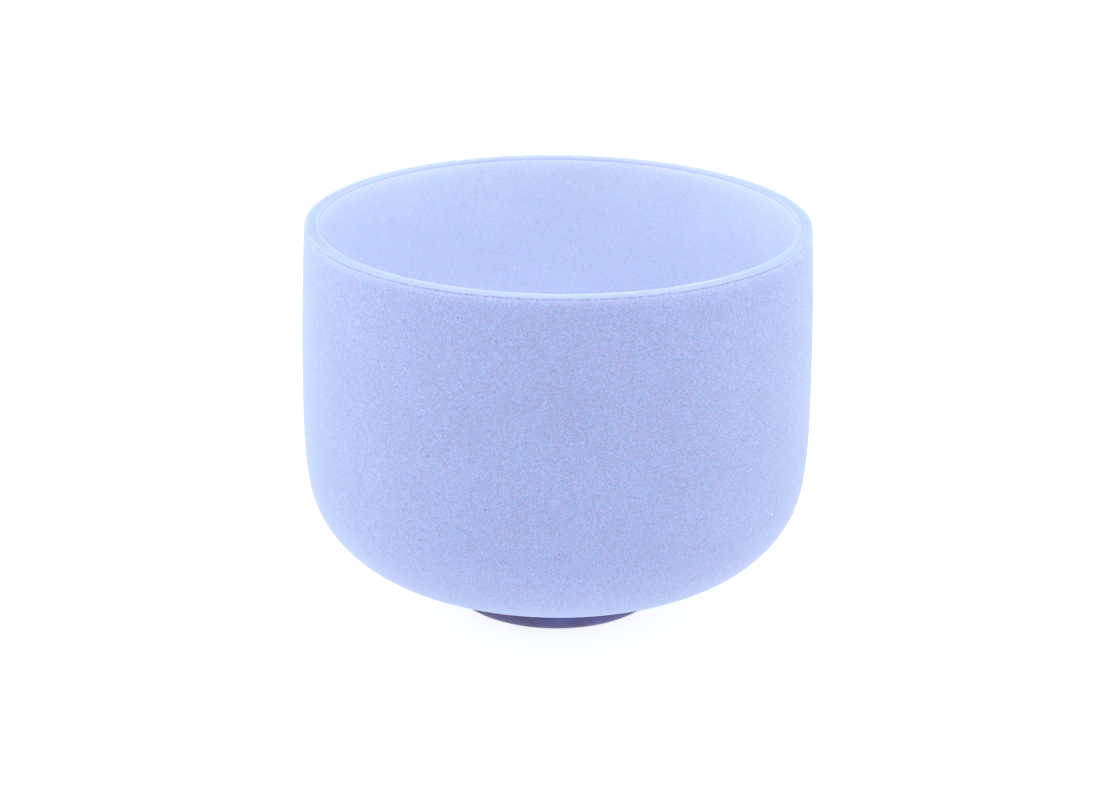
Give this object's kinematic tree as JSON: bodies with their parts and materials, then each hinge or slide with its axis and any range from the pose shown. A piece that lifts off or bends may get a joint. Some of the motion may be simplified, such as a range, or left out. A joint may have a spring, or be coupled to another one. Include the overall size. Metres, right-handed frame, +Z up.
{
  "type": "singing bowl",
  "caption": "Deep round frosted quartz singing bowl with a flat rim, slightly bellied sides and a domed underside, resting on a loose rubber ring.",
  "frame": {"origin": "on the bowl's axis, at the level of the surface that the rubber ring stands on", "axes": "+Z up along the bowl's axis of revolution, X and Y level and alike"},
  "size_m": [0.2604, 0.2604, 0.2023],
  "materials": {
    "frosted_quartz": "periwinkle fused quartz, sandblasted matt outside, smooth satin inside, ground flat rim",
    "dark_rubber": "moulded slate violet rubber, matt"
  },
  "bodies": {
    "ring": {"rubber_ring": "dark_rubber"},
    "bowl": {"quartz_bowl": "frosted_quartz"}
  },
  "joints": [
    {"name": "bowl_lift", "type": "slide", "parent": "ring", "child": "bowl", "axis": [0, 0, 1], "range_m": [0, 0.1]}
  ]
}
